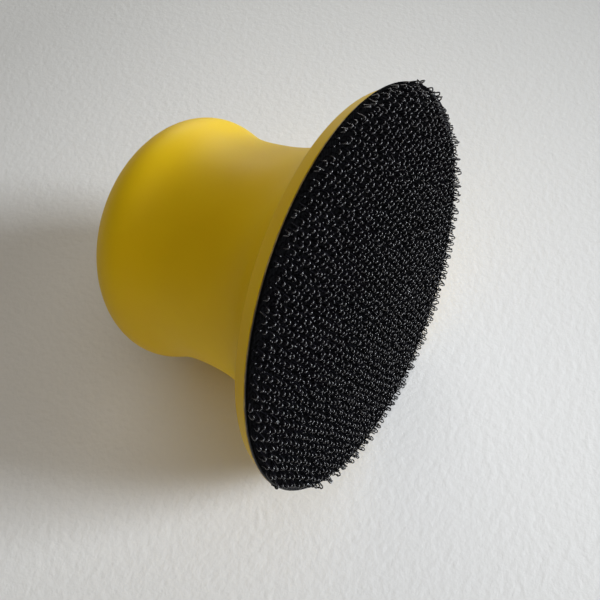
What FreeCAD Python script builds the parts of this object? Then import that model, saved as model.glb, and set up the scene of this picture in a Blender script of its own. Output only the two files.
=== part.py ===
# Hand pad holder: a one-piece moulded foam grip with a disc of woven hook tape glued to its wide
# face.  A loop-backed polishing pad or sanding disc presses on to the hooks, and the palm knob is
# held in the hand.  Nothing on it moves.
#
# Frame, in millimetres: the origin is the centre of the plane of the hook tips, +Y runs up the
# grip's axis from the hooks to the palm knob, and +Z is up with the holder lying on its side.
import FreeCAD, Part
import math
import os

# Face and hook tape
face_diameter = 75.0       # 3 in class, the same as the pads and discs that it takes
pile_height = 1.6          # hook tips to the top of the cloth
cloth_thickness = 0.45     # woven nylon ground cloth
coating_thickness = 0.1    # resin on the cloth's back, which locks the hooks in
glue_thickness = 0.2       # contact adhesive between the tape and the foam
pile_inset = 0.3           # the outermost hooks stand this far inside the cloth's cut edge

# Foam grip, as heights above its flat face and radii from its axis
grip_height = 54.0
lip_thickness = 2.8        # the rim's edge, up to the corner where the flare leaves it
lip_taper = 27.0           # degrees, between that edge and the grip's axis, so it narrows away from the tape
lip_round = 1.5            # rounding on that corner
flare_angle = 25.0         # degrees, between the flare and the flat face where it leaves the lip
flare_pull = 11.8          # length of the flare's two curve handles
waist_radius = 23.0
waist_height = 27.5
neck_pull = 7.7            # curve handle above the waist
knob_radius = 25.5
knob_height = 40.2         # height of the palm knob's widest circle
knob_pull = 3.6            # curve handle below that circle
crown_roundness = 0.545    # share of each half-axis that the crown's curve handles take
skin_thickness = 1.5       # dense moulded skin over the lighter foam core
core_rim_radius = 35.0     # where the skins of the flare and of the flat face run together

face_radius = face_diameter / 2
cloth_y = pile_height
coating_y = cloth_y + cloth_thickness
glue_y = coating_y + coating_thickness
foam_y = glue_y + glue_thickness


def point(radius, height):
    return FreeCAD.Vector(radius, height, 0)


def line(start, end):
    return Part.makeLine(point(*start), point(*end))


def curve(*poles):
    bezier = Part.BezierCurve()
    bezier.setPoles([point(*pole) for pole in poles])
    return bezier.toShape()


def disc(radius, start_y, thickness):
    return Part.makeCylinder(radius, thickness, point(0, start_y), FreeCAD.Vector(0, 1, 0))


def lip_edges():
    """The rim's tapered edge and the rounding on its back, from the flat face up to the flare."""
    taper = math.radians(lip_taper)
    flare_turn = math.radians(90 - flare_angle)
    corner_to_round = lip_round * math.tan((flare_turn - taper) / 2)
    corner = (face_radius - lip_thickness * math.tan(taper), foam_y + lip_thickness)
    round_start = (
        corner[0] + corner_to_round * math.sin(taper),
        corner[1] - corner_to_round * math.cos(taper),
    )
    middle = (round_start[0] - lip_round * math.cos(taper), round_start[1] - lip_round * math.sin(taper))
    rounding = [
        point(middle[0] + lip_round * math.cos(turn), middle[1] + lip_round * math.sin(turn))
        for turn in (taper, (taper + flare_turn) / 2, flare_turn)
    ]
    return [line((face_radius, foam_y), round_start), Part.Arc(*rounding).toShape()]


def body_edges(start_radius, start_y, inset):
    """The flare, neck and crown, moved in by the inset, from a point on the flare to the axis."""
    slope = math.radians(flare_angle)
    pull = flare_pull - inset
    waist = waist_radius - inset
    waist_y = foam_y + waist_height
    knob = knob_radius - inset
    knob_y = foam_y + knob_height
    crown_y = foam_y + grip_height - inset
    crown_rise = crown_roundness * (crown_y - knob_y)
    flare_handle = (start_radius - pull * math.cos(slope), start_y + pull * math.sin(slope))
    flare = curve((start_radius, start_y), flare_handle, (waist, waist_y - pull), (waist, waist_y))
    neck = curve((waist, waist_y), (waist, waist_y + neck_pull), (knob, knob_y - knob_pull), (knob, knob_y))
    crown_side = (knob, knob_y + crown_rise)
    crown_top = (knob * crown_roundness, crown_y)
    return [flare, neck, curve((knob, knob_y), crown_side, crown_top, (0, crown_y))]


def turned(edges, base_y, base_radius):
    """The solid that an outline from the rim to the axis sweeps, closed by its flat base."""
    top = edges[-1].Vertexes[-1].Point
    base = line((0, base_y), (base_radius, base_y))
    axis = line((0, top.y), (0, base_y))
    section = Part.Face(Part.Wire([base] + edges + [axis]))
    return section.revolve(FreeCAD.Vector(), FreeCAD.Vector(0, 1, 0), 360)


def foam_grip():
    """Outer skin and inner core of the moulded foam body."""
    lip = lip_edges()
    lip_end = lip[-1].Vertexes[-1].Point
    body = turned(lip + body_edges(lip_end.x, lip_end.y, 0), foam_y, face_radius)
    core_y = foam_y + skin_thickness
    core = turned(body_edges(core_rim_radius, core_y, skin_thickness), core_y, core_rim_radius)
    return body.cut(core), core


foam_skin, foam_core = foam_grip()
nodes = {
    "foam_skin": foam_skin,
    "foam_core": foam_core,
    "adhesive_film": disc(face_radius, glue_y, glue_thickness),
    "tape_coating": disc(face_radius, coating_y, coating_thickness),
    "tape_cloth": disc(face_radius, cloth_y, cloth_thickness),
    "hook_pile": disc(face_radius - pile_inset, 0, pile_height),
}

os.makedirs("parts", exist_ok=True)
for name, shape in nodes.items():
    shape.exportStep("parts/" + name + ".step")
    print(name, "valid", shape.isValid(), "solids", len(shape.Solids), "volume", round(shape.Volume, 1))
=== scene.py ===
import math
import random

import bmesh
import bpy
from mathutils import Matrix, Vector, noise
from mathutils.geometry import interpolate_bezier


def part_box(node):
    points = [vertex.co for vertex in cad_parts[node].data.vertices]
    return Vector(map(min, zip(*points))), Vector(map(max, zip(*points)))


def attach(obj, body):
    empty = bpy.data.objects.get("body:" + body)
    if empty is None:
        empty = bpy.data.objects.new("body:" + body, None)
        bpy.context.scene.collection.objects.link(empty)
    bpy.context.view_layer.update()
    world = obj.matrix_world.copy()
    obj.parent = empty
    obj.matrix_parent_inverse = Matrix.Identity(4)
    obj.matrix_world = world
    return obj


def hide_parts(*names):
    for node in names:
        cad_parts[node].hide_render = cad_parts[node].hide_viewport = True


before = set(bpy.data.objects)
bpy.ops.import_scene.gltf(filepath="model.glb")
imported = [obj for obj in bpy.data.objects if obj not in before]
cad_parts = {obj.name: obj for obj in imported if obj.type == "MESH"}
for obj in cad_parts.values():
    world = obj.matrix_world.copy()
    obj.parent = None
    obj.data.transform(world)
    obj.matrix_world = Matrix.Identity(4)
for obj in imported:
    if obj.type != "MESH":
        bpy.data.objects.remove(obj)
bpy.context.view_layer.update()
dice = random.Random(7)
MM = 0.001

# ---------------------------------------------------------------------------------------------
# The grip's skin: self-skinned polyurethane foam, moulded in one piece with the core inside it.
# The mould leaves a smooth satin surface, a thin lip round the face, and no parting line.
# ---------------------------------------------------------------------------------------------


class Shade:
    """A value or colour inside a material, worked out by shader nodes."""

    def __init__(self, tree, socket=None):
        self.tree = tree
        self.socket = socket

    def node(self, kind, settings, sockets, output=0):
        made = self.tree.nodes.new("ShaderNode" + kind)
        for name, value in settings.items():
            if name == "stops":
                while len(made.color_ramp.elements) < len(value):
                    made.color_ramp.elements.new(0.5)
                for element, (place, colour) in zip(made.color_ramp.elements, value):
                    element.position = place
                    element.color = colour
            else:
                setattr(made, name, value)
        for name, value in sockets.items():
            if isinstance(value, Shade):
                self.tree.links.new(value.socket, made.inputs[name])
            else:
                made.inputs[name].default_value = value
        return Shade(self.tree, made.outputs[output])

    def sum(self, operation, first, second):
        return self.node("Math", {"operation": operation}, {0: first, 1: second})

    def __add__(self, other):
        return self.sum("ADD", self, other)

    __radd__ = __add__

    def __sub__(self, other):
        return self.sum("SUBTRACT", self, other)

    def __rsub__(self, other):
        return self.sum("SUBTRACT", other, self)

    def __mul__(self, other):
        return self.sum("MULTIPLY", self, other)

    __rmul__ = __mul__

    def noise(self, place, scale, detail=2.0, roughness=0.5):
        sockets = {"Vector": place, "Scale": scale, "Detail": detail, "Roughness": roughness}
        return self.node("TexNoise", {}, sockets)

    def range(self, low, high, new_low=0.0, new_high=1.0):
        sockets = {0: self, 1: low, 2: high, 3: new_low, 4: new_high}
        return self.node("MapRange", {"clamp": True}, sockets)

    def mix(self, first, second):
        """The colour that goes from the first to the second as this value goes from 0 to 1."""
        settings = {"data_type": "RGBA"}
        return self.node("Mix", settings, {"Factor": self, 6: first, 7: second}, output=2)

    def bump(self, distance, strength=1.0, under=None):
        sockets = {"Height": self, "Distance": distance, "Strength": strength}
        if under is not None:
            sockets["Normal"] = under
        return self.node("Bump", {}, sockets)


def new_surface(name):
    """A material, its shader maths, the place on the object that it reads, and its main shader."""
    material = bpy.data.materials.new(name)
    material.use_nodes = True
    shade = Shade(material.node_tree)
    place = shade.node("TexCoord", {}, {}, output=3)
    return material, shade, place, material.node_tree.nodes["Principled BSDF"]


def feed(shader, **sockets):
    """Sets or links the main shader's sockets; an underscore stands for a space in a name."""
    for name, value in sockets.items():
        socket = shader.inputs[name.replace("_", " ")]
        if isinstance(value, Shade):
            value.tree.links.new(value.socket, socket)
        else:
            socket.default_value = value


def piece(name, mesh_maker, material, smooth=True):
    """A finished piece of the object, riding on its one body."""
    mesh = bpy.data.meshes.new(name)
    mesh_maker.to_mesh(mesh)
    mesh_maker.free()
    mesh.polygons.foreach_set("use_smooth", [smooth] * len(mesh.polygons))
    mesh.materials.append(material)
    made = bpy.data.objects.new(name, mesh)
    bpy.context.scene.collection.objects.link(made)
    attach(made, "root")
    return made


skin_low, skin_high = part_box("foam_skin")
face_radius = skin_high.x
foam_y = skin_low.y
grip_height = skin_high.y - skin_low.y
core_low, core_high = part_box("foam_core")
skin_thickness = core_low.y - skin_low.y
lip_thickness = 2.8 * MM
lip_taper = math.radians(27)             # from the grip's axis, so the rim narrows away from the tape
lip_round = 1.5 * MM
flare_angle = math.radians(25)           # from the flat face, where the flare leaves the lip
flare_pull = 11.8 * MM
waist_radius = 23.0 * MM
waist_height = 27.5 * MM
neck_pull = 7.7 * MM
knob_radius = 25.5 * MM
knob_height = 40.2 * MM
knob_pull = 3.6 * MM
crown_roundness = 0.545
turn_steps = 240
foam_swell = 0.05 * MM


def body_outline(start, inset):
    """Points over the flare, neck and crown, moved in by the inset, from a start on the flare."""
    pull = flare_pull - inset
    waist = Vector((waist_radius - inset, foam_y + waist_height, 0))
    knob = Vector((knob_radius - inset, foam_y + knob_height, 0))
    crown = Vector((0, foam_y + grip_height - inset, 0))
    rise = Vector((0, crown_roundness * (crown.y - knob.y), 0))
    out = Vector((crown_roundness * knob.x, 0, 0))
    climb = Vector((-math.cos(flare_angle), math.sin(flare_angle), 0)) * pull
    up = Vector((0, 1, 0))
    points = interpolate_bezier(start, start + climb, waist - up * pull, waist, 34)
    points += interpolate_bezier(waist, waist + up * neck_pull, knob - up * knob_pull, knob, 18)[1:]
    points += interpolate_bezier(knob, knob + rise, crown + out, crown, 30)[1:]
    return points


def lip_outline():
    """Points up the rim's tapered edge and round its back corner, as far as the flare."""
    flare_turn = math.pi / 2 - flare_angle
    corner = Vector((face_radius - lip_thickness * math.tan(lip_taper), foam_y + lip_thickness, 0))
    to_round = lip_round * math.tan((flare_turn - lip_taper) / 2)
    start = corner + to_round * Vector((math.sin(lip_taper), -math.cos(lip_taper), 0))
    middle = start - lip_round * Vector((math.cos(lip_taper), math.sin(lip_taper), 0))
    turns = [lip_taper + (flare_turn - lip_taper) * step / 7 for step in range(8)]
    arc = [middle + lip_round * Vector((math.cos(a), math.sin(a), 0)) for a in turns]
    rim = Vector((face_radius, foam_y, 0))
    return [rim, rim.lerp(start, 0.08), rim.lerp(start, 0.5)] + arc


def turn(maker, outline):
    """Sweeps an outline about the grip's axis and closes its seam and its two poles."""
    points = [maker.verts.new(point) for point in outline]
    edges = [maker.edges.new(pair) for pair in zip(points, points[1:])]
    bmesh.ops.spin(
        maker, geom=points + edges, cent=(0, 0, 0), axis=(0, 1, 0), angle=math.tau,
        steps=turn_steps, use_merge=True,
    )
    bmesh.ops.remove_doubles(maker, verts=maker.verts, dist=1e-6)
    bmesh.ops.recalc_face_normals(maker, faces=maker.faces)


def settle_foam(maker):
    """The slight unevenness that moulded foam keeps: a few hundredths of a millimetre."""
    for vertex in maker.verts:
        away_from_face = min(1.0, max(0.0, (vertex.co.y - foam_y - lip_thickness) / (4 * MM)))
        swell = noise.noise(vertex.co * 55.0) + 0.4 * noise.noise(vertex.co * 160.0)
        outward = Vector((vertex.co.x, 0, vertex.co.z)).normalized()
        vertex.co += outward * swell * away_from_face * foam_swell


def skin_mesh():
    outer = bmesh.new()
    face = [Vector((radius * face_radius, foam_y, 0)) for radius in (0, 0.35, 0.7, 0.95)]
    lip = lip_outline()
    turn(outer, face + lip + body_outline(lip[-1], 0)[1:])
    settle_foam(outer)
    inner = bmesh.new()
    inner_y = foam_y + skin_thickness
    inner_face = [Vector((radius * core_high.x, inner_y, 0)) for radius in (0, 0.5, 1)]
    turn(inner, inner_face + body_outline(inner_face[-1], skin_thickness)[1:])
    bmesh.ops.reverse_faces(inner, faces=inner.faces)
    inner_mesh = bpy.data.meshes.new("inner")
    inner.to_mesh(inner_mesh)
    inner.free()
    outer.from_mesh(inner_mesh)
    bpy.data.meshes.remove(inner_mesh)
    return outer


def skin_material():
    material, shade, place, shader = new_surface("yellow_moulded_skin")
    clouds = shade.noise(place, 38.0, 3.0)
    grain = shade.noise(place, 1900.0, 3.0, 0.55)
    pores = shade.noise(place, 5200.0, 1.0)
    clean = clouds.range(0.35, 0.65).mix((0.79, 0.51, 0.001, 1), (0.85, 0.57, 0.002, 1))
    colour = grain.range(0.62, 0.8, 0, 0.25).mix(clean, (0.68, 0.41, 0.001, 1))
    height = grain + pores * 0.4
    feed(
        shader, Base_Color=colour, Roughness=clouds.range(0.3, 0.7, 0.40, 0.50),
        Normal=height.bump(0.012 * MM), Specular_IOR_Level=0.2,
        Subsurface_Weight=0.10, Subsurface_Radius=(0.9 * MM, 0.5 * MM, 0.1 * MM),
        Subsurface_Scale=1.0,
    )
    return material


skin = piece("grip_skin", skin_mesh(), skin_material())
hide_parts("foam_skin")

# ---------------------------------------------------------------------------------------------
# The grip's core: the same foam where it rose freely inside the mould, paler and full of fine
# closed cells. It fills the skin and doesn't show.
# ---------------------------------------------------------------------------------------------


def core_material():
    material, shade, place, shader = new_surface("fine_celled_foam")
    settings = {"feature": "F1"}
    cells = shade.node("TexVoronoi", settings, {"Vector": place, "Scale": 2600.0})
    pits = cells.range(0.1, 0.7)
    # Each cell is painted darker down in its pit than on its rim: painted shade, set by the same mask
    # as the bump.
    feed(
        shader, Base_Color=pits.mix((0.62, 0.44, 0.06, 1), (0.86, 0.70, 0.22, 1)),
        Roughness=0.9, Normal=pits.bump(0.15 * MM),
    )
    return material


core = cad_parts["foam_core"]
core.data.materials.clear()
core.data.materials.append(core_material())

# ---------------------------------------------------------------------------------------------
# The adhesive: a rolled coat of contact cement between the foam's face and the tape. A thin,
# uneven line of it is squeezed out round the edge and has dried a dull amber.
# ---------------------------------------------------------------------------------------------

glue_low, glue_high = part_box("adhesive_film")
glue_squeeze = 0.16 * MM                 # how far the line bulges out where there was most glue


def glue_mesh():
    maker = bmesh.new()
    to_middle = Matrix.Translation((0, (glue_low.y + glue_high.y) / 2, 0))
    bmesh.ops.create_cone(
        maker, cap_ends=True, segments=360, radius1=face_radius, radius2=face_radius,
        depth=glue_high.y - glue_low.y,
        matrix=to_middle @ Matrix.Rotation(math.pi / 2, 4, "X"),
    )
    sides = [edge for edge in maker.edges if abs(edge.verts[0].co.y - edge.verts[1].co.y) > 1e-5]
    bmesh.ops.subdivide_edges(maker, edges=sides, cuts=1)
    for vertex in maker.verts:
        squeeze = noise.noise(vertex.co * 420.0) - 0.15
        middle = 1 - abs(vertex.co.y - (glue_low.y + glue_high.y) / 2) / (glue_high.y - glue_low.y)
        scale = 1 + squeeze * middle * glue_squeeze / face_radius
        vertex.co.x *= scale
        vertex.co.z *= scale
    return maker


def glue_material():
    material, shade, place, shader = new_surface("dried_contact_cement")
    streaks = shade.noise(place, 700.0, 3.0)
    colour = streaks.range(0.3, 0.7).mix((0.20, 0.12, 0.03, 1), (0.42, 0.30, 0.09, 1))
    feed(shader, Base_Color=colour, Roughness=0.38, Normal=streaks.bump(0.05 * MM))
    return material


glue = piece("adhesive_line", glue_mesh(), glue_material())
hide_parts("adhesive_film")

# ---------------------------------------------------------------------------------------------
# The tape's back coating: a thin layer of resin, spread on the back of the cloth so that the
# hooks can't pull out. Only its edge shows, as a black line against the yellow lip.
# ---------------------------------------------------------------------------------------------


def coating_material():
    material, shade, place, shader = new_surface("black_resin_coat")
    spread = shade.noise(place, 900.0, 4.0)
    colour = spread.range(0.35, 0.7).mix((0.010, 0.010, 0.011, 1), (0.028, 0.028, 0.030, 1))
    feed(
        shader, Base_Color=colour, Roughness=spread.range(0.3, 0.7, 0.5, 0.7),
        Normal=spread.bump(0.04 * MM),
    )
    return material


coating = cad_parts["tape_coating"]
coating.data.materials.clear()
coating.data.materials.append(coating_material())

# ---------------------------------------------------------------------------------------------
# The tape's cloth: black nylon, plain woven from textured yarns about half a millimetre apart,
# and die-cut to the size of the face. Its warp runs with the columns of hooks.
# ---------------------------------------------------------------------------------------------

cloth_low, cloth_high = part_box("tape_cloth")
weave_turn = math.radians(19.7)          # the warp's slant from the Z axis
along = Vector((math.sin(weave_turn), 0, -math.cos(weave_turn)))
across = Vector((math.cos(weave_turn), 0, math.sin(weave_turn)))
yarn_pitch = 0.50 * MM
yarn_height = 0.08 * MM
column_pitch = 1.41 * MM                 # between two columns of hooks
last_column = 25.5 * column_pitch        # the cut leaves a bare margin outside the last column
margin_fade = (0.3 * MM, 0.7 * MM)       # where, past that column, the bare cloth begins to show
tape_slip = Vector((0.31, 0, 0.155)) * MM    # how far off centre the disc was stuck on


def to_disc(place):
    """Where a point of a square from -1 to 1 lies once the square is stretched to a round disc."""
    x, y = place
    return Vector((x * math.sqrt(1 - y * y / 2), y * math.sqrt(1 - x * x / 2)))


def cloth_mesh():
    maker = bmesh.new()
    bmesh.ops.create_grid(maker, x_segments=150, y_segments=150, size=1)
    for vertex in maker.verts:
        round_place = to_disc(vertex.co.xy)
        spread = across * round_place.x * face_radius + along * round_place.y * face_radius
        sag = yarn_height * (1 + noise.noise(spread * 900.0)) if round_place.length < 0.998 else 0
        vertex.co = spread + tape_slip + Vector((0, cloth_low.y + sag, 0))
    bmesh.ops.recalc_face_normals(maker, faces=maker.faces)
    edge = [e for e in maker.edges if e.is_boundary]
    side = bmesh.ops.extrude_edge_only(maker, edges=edge)["geom"]
    for vertex in [v for v in side if isinstance(v, bmesh.types.BMVert)]:
        vertex.co.y = cloth_high.y
    rim = [e for e in side if isinstance(e, bmesh.types.BMEdge) and e.is_boundary]
    bmesh.ops.contextual_create(maker, geom=rim)
    bmesh.ops.recalc_face_normals(maker, faces=maker.faces)
    return maker


def cloth_material():
    material, shade, place, shader = new_surface("black_woven_nylon")
    fuzz = shade.noise(place, 6000.0, 3.0)
    waves = []
    for direction in (along, across):
        dot = {"operation": "DOT_PRODUCT"}
        distance = place.node("VectorMath", dot, {0: place, 1: direction}, output=1)
        turns = distance * (math.pi / yarn_pitch)
        waves.append(turns.node("Math", {"operation": "SINE"}, {0: turns}))
    weave = waves[0] * waves[1]
    margin = distance.node("Math", {"operation": "ABSOLUTE"}, {0: distance})
    margin = margin.range(last_column + margin_fade[0], last_column + margin_fade[1])
    # Painted shade: among the hooks the cloth is painted near-black, far darker than its own colour
    # at the bare margin, for the shade the hooks cast, and a touch lighter on the weave's crossings
    # than in its dips.
    painted_field_shade = weave.range(-1, 1).mix((0.001, 0.001, 0.0012, 1), (0.003, 0.003, 0.0035, 1))
    colour = margin.mix(painted_field_shade, (0.026, 0.026, 0.028, 1))
    height = weave + fuzz * 0.5
    feed(
        shader, Base_Color=colour, Roughness=0.9, Normal=height.bump(0.08 * MM),
        Specular_IOR_Level=0.03,
    )
    return material


cloth_black = cloth_material()
cloth = piece("tape_cloth_weave", cloth_mesh(), cloth_black)
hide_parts("tape_cloth")

# ---------------------------------------------------------------------------------------------
# The hooks: nylon monofilament woven over wires into rows of loops that stand across the warp,
# heat-set, then cut on one leg, left and right by turns. Each leaves a hook and a tall stub.
# ---------------------------------------------------------------------------------------------

pile_low, pile_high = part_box("hook_pile")
filament = 0.132 * MM                    # radius of the monofilament
hook_pitch = 1.62 * MM
stub_offset = 0.64 * MM                  # from a hook to the stub of its cut leg
loop_half = 0.25 * MM                    # half the loop's width, between the centres of its legs
hook_height = pile_high.y - pile_low.y
root_depth = 0.15 * MM                   # how far a leg runs down into the cloth
cut_edge = 0.12 * MM                     # a hook nearer than this to the edge was cut away
trimmed_reach = 0.8 * MM                 # how near the edge its stub is left
edge_zone = 2.2 * MM                     # where the hooks are pressed outwards by the cutting
edge_lean = 25                           # degrees, right at the edge
nap_lean = 7                             # degrees, the way the whole pile was brushed
nap_yaw = 14                             # degrees, by which each hook is turned from its row
stub_lean = 0.4
wild_spread = 2.3                        # how much more a disturbed hook strays than the others


def sweep(maker, end, move):
    """Pulls the tube's open end on by a move and returns its new end face."""
    made = bmesh.ops.extrude_face_region(maker, geom=[end])["geom"]
    bmesh.ops.delete(maker, geom=[end], context="FACES_ONLY")
    face = next(item for item in made if isinstance(item, bmesh.types.BMFace))
    bmesh.ops.translate(maker, verts=face.verts, vec=move)
    return face


def tube_start(maker, x, sides):
    made = bmesh.ops.create_circle(maker, cap_ends=False, segments=sides, radius=filament)
    bmesh.ops.translate(maker, verts=made["verts"], vec=(x, 0, -root_depth))
    return maker.faces.new(made["verts"])


def hook_template(half, height, cut, bow):
    """One hook, standing on Z with its loop across X: a whole leg, the arch, and the cut leg."""
    maker = bmesh.new()
    end = tube_start(maker, -half, 6)
    arch_z = height - filament - half
    end = sweep(maker, end, Vector((0, 0, root_depth + arch_z * 0.5)))
    end = sweep(maker, end, Vector((0, 0, arch_z * 0.5)))
    made = bmesh.ops.spin(
        maker, geom=[end], cent=(0, 0, arch_z), axis=(0, 1, 0), angle=math.pi, steps=6,
        use_merge=False,
    )["geom_last"]
    bmesh.ops.delete(maker, geom=[end], context="FACES_ONLY")
    end = next(item for item in made if isinstance(item, bmesh.types.BMFace))
    sweep(maker, end, Vector((0, 0, cut - arch_z)))
    bmesh.ops.recalc_face_normals(maker, faces=maker.faces)
    for vertex in maker.verts:
        lift = max(0.0, vertex.co.z) / height
        vertex.co.x += bow * math.sin(math.pi * lift) * (1 if vertex.co.x > 0 else -1)
    mesh = bpy.data.meshes.new("hook_template")
    maker.to_mesh(mesh)
    maker.free()
    return mesh


def stub_template(height):
    maker = bmesh.new()
    end = tube_start(maker, 0, 5)
    end = sweep(maker, end, Vector((0, 0, root_depth + height - filament)))
    end = sweep(maker, end, Vector((0, 0, filament * 0.55)))
    bmesh.ops.scale(maker, verts=end.verts, vec=(1.25, 1.25, 1))
    end = sweep(maker, end, Vector((0, 0, filament * 0.45)))
    bmesh.ops.scale(maker, verts=end.verts, vec=(0.5, 0.5, 1))
    bmesh.ops.recalc_face_normals(maker, faces=maker.faces)
    mesh = bpy.data.meshes.new("stub_template")
    maker.to_mesh(mesh)
    maker.free()
    return mesh


hook_shapes = [
    hook_template(loop_half * wide, hook_height * tall, hook_height * cut, bow * MM)
    for wide, tall, cut, bow in (
        (1.00, 1.00, 0.40, 0.03), (1.06, 0.97, 0.46, 0.06), (0.92, 1.00, 0.34, 0.02),
        (1.00, 0.95, 0.30, 0.07), (1.12, 0.98, 0.42, 0.01), (0.96, 0.99, 0.52, 0.05),
    )
]
stub_shapes = [stub_template(tall * MM) for tall in (1.00, 1.15, 1.28)]
cloth_frame = Matrix.Translation(Vector((0, pile_high.y, 0)) + tape_slip) @ Matrix(
    (
        (across.x, along.x, 0, 0),
        (0, 0, -1, 0),
        (across.z, along.z, 0, 0),
        (0, 0, 0, 1),
    )
)


def stand(maker, template, x, y, turned, lean_x, lean_y):
    """Stands one hook or stub on the cloth, at x across and y along the warp."""
    start = len(maker.verts)
    maker.from_mesh(template)
    maker.verts.ensure_lookup_table()
    place = (
        cloth_frame @ Matrix.Translation((x, y, 0)) @ Matrix.Rotation(lean_x, 4, "X")
        @ Matrix.Rotation(lean_y, 4, "Y") @ Matrix.Rotation(turned, 4, "Z")
    )
    for vertex in maker.verts[start:]:
        vertex.co = place @ vertex.co
        vertex.co.y = min(max(vertex.co.y, pile_low.y), cloth_high.y)


def pile_meshes():
    """The whole field of hooks, as three bands of columns."""
    bands = [bmesh.new() for _ in range(3)]
    columns = round(last_column / column_pitch + 0.5)
    rows = int(face_radius / hook_pitch) + 2
    for column in range(-columns, columns):
        half_step = 0.5 * (column % 2)
        for row in range(-rows, rows + 1):
            x = (column + 0.5) * column_pitch + dice.gauss(0, 0.05) * MM
            y = (row + half_step) * hook_pitch + dice.gauss(0, 0.07) * MM
            reach = math.hypot(x, y)
            band = bands[min(2, int(3 * (column + columns) / (2 * columns)))]
            side = 1 if row % 2 else -1
            if reach > face_radius - cut_edge:
                inner = face_radius - dice.uniform(0.2, 0.5) * MM
                kept_y = math.copysign(math.sqrt(max(0.0, inner ** 2 - x ** 2)), y)
                if abs(y - kept_y) < trimmed_reach:
                    lean_x, lean_y = -stub_lean * y / reach, stub_lean * x / reach
                    stand(band, stub_shapes[0], x, kept_y, 0, lean_x, lean_y)
                continue
            edge = max(0.0, 1 - (face_radius - reach) / edge_zone)
            wild = wild_spread if dice.random() < 0.07 + 0.15 * edge else 1.0
            yaw = (0 if side > 0 else math.pi) + math.radians(dice.gauss(nap_yaw * side, 16 * wild))
            out_x, out_y = edge * x / max(reach, MM), edge * y / max(reach, MM)
            lean_x = math.radians(dice.gauss(nap_lean, 7 * wild) - edge_lean * out_y)
            lean_y = math.radians(dice.gauss(-nap_lean, 7 * wild) + edge_lean * out_x)
            stand(band, dice.choice(hook_shapes), x, y, yaw, lean_x, lean_y)
            stub_x = x + side * stub_offset + dice.gauss(0, 0.05) * MM
            stub_tilt = math.radians(dice.gauss(0, 9))
            stand(band, dice.choice(stub_shapes), stub_x, y, 0, stub_tilt, stub_tilt)
    return bands


def hook_material():
    material, shade, place, shader = new_surface("black_nylon_monofilament")
    tone = shade.noise(place, 900.0, 1.0)
    colour = tone.range(0.3, 0.7).mix((0.007, 0.007, 0.010, 1), (0.016, 0.016, 0.022, 1))
    feed(
        shader, Base_Color=colour, Roughness=tone.range(0.3, 0.7, 0.16, 0.26),
        IOR=1.53, Specular_IOR_Level=1.0,
    )
    return material


hook_black = hook_material()
for band_name, band_mesh in zip(("left", "middle", "right"), pile_meshes()):
    band = piece("hooks_" + band_name, band_mesh, hook_black)
    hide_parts("hook_pile")

# ---------------------------------------------------------------------------------------------
# The table, the light and the camera. The holder lies on its side, on its rim and its knob, so
# the table is tilted to touch both. A window to the right throws a soft shadow to the left.
# ---------------------------------------------------------------------------------------------

table_tilt = math.radians(16.2)
table_half_width = 1.0
up = Vector((0, -math.sin(table_tilt), math.cos(table_tilt)))
touching = [v.co for name in ("foam_skin", "tape_cloth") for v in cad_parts[name].data.vertices]
table_drop = min(co.dot(up) for co in touching)
camera_back = Vector((-0.3949, -0.4631, 0.7935)).normalized()
camera_right = up.cross(camera_back).normalized()
camera_up = camera_back.cross(camera_right)
table_right = camera_right
table_far = up.cross(table_right)


def table_material():
    material, shade, place, shader = new_surface("pale_painted_board")
    roller = shade.noise(place, 620.0, 3.0, 0.55)
    foot = up * table_drop
    away = place.node("VectorMath", {"operation": "DISTANCE"}, {0: place, 1: foot}, output=1)
    # Random blotches, plus painted shade: the board is painted darker the farther it is from the
    # holder, standing in for the light falling off towards the far side.
    blotches_and_painted_falloff = shade.noise(place, 9.0, 2.0) * 0.15 + away.range(0.030, 0.152, 0.0, 0.94)
    colour = blotches_and_painted_falloff.mix((0.88, 0.88, 0.885, 1), (0.56, 0.56, 0.555, 1))
    feed(shader, Base_Color=colour, Roughness=0.6, Normal=roller.bump(0.3 * MM, 0.5))
    return material


table_maker = bmesh.new()
bmesh.ops.create_grid(
    table_maker, x_segments=2, y_segments=2, size=table_half_width,
    matrix=Matrix.Translation(up * table_drop) @ Matrix.Rotation(table_tilt, 4, "X"),
)
table_mesh = bpy.data.meshes.new("table")
table_maker.to_mesh(table_mesh)
table_maker.free()
table_mesh.materials.append(table_material())
table = bpy.data.objects.new("table", table_mesh)
bpy.context.scene.collection.objects.link(table)

camera_distance = 3.183 * face_radius
aim_right = -0.335 * face_radius
aim_up = -0.018 * face_radius

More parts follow.
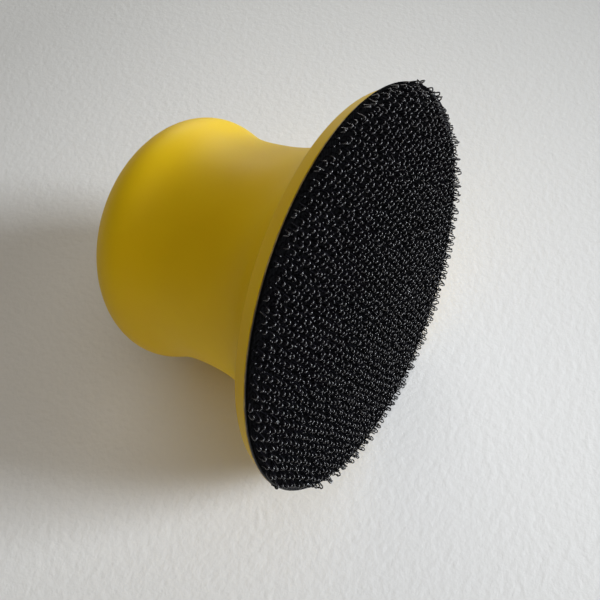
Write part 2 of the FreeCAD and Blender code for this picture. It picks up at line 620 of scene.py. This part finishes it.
face_centre = Vector((0, foam_y, 0))
aim = face_centre + camera_right * aim_right + camera_up * aim_up
axes = Matrix((camera_right, camera_up, camera_back)).transposed().to_4x4()
lens = bpy.data.cameras.new("camera")
lens.lens = 39.0
lens.sensor_width = 36.0
lens.clip_start = 0.005
camera = bpy.data.objects.new("camera", lens)
camera.matrix_world = Matrix.Translation(aim + camera_back * camera_distance) @ axes
bpy.context.scene.collection.objects.link(camera)
bpy.context.scene.camera = camera


def panel(name, bearing, height, distance, size, power, colour):
    """A square light facing the holder; its bearing is in degrees, from the right to the far side."""
    bearing, height = math.radians(bearing), math.radians(height)
    level = table_right * math.cos(bearing) + table_far * math.sin(bearing)
    towards = level * math.cos(height) + up * math.sin(height)
    light = bpy.data.lights.new(name, "AREA")
    light.shape = "SQUARE"
    light.size = size
    light.energy = power
    light.color = colour
    lamp = bpy.data.objects.new(name, light)
    lamp.location = face_centre + towards * distance
    lamp.rotation_euler = (-towards).to_track_quat("-Z", "Y").to_euler()
    bpy.context.scene.collection.objects.link(lamp)


panel("window", -2.5, 28, 1.4, 0.45, 18.6, (0.94, 1.0, 1.06))
panel("near_window", -12, 40, 0.5, 0.2, 0.35, (0.94, 1.0, 1.06))
panel("far_window", 92, 10, 1.0, 0.6, 3.5, (1.0, 1.0, 0.95))
panel("near_wall", 250, 6, 1.0, 0.25, 0.85, (1.0, 0.92, 0.80))
panel("ceiling", 0, 85, 1.0, 0.8, 2.1, (1.0, 0.95, 0.86))

world = bpy.data.worlds.new("room")
world.use_nodes = True
bpy.context.scene.world = world
room = world.node_tree
seen = room.nodes.new("ShaderNodeLightPath").outputs["Is Camera Ray"]
choice = room.nodes.new("ShaderNodeMixShader")
dim, pale = room.nodes["Background"], room.nodes.new("ShaderNodeBackground")
dim.inputs["Color"].default_value = (1.0, 0.87, 0.70, 1)
dim.inputs["Strength"].default_value = 0.122
pale.inputs["Color"].default_value = (0.62, 0.62, 0.60, 1)
room.links.new(seen, choice.inputs[0])
room.links.new(dim.outputs[0], choice.inputs[1])
room.links.new(pale.outputs[0], choice.inputs[2])
room.links.new(choice.outputs[0], room.nodes["World Output"].inputs["Surface"])
bpy.context.scene.view_settings.view_transform = "Standard"
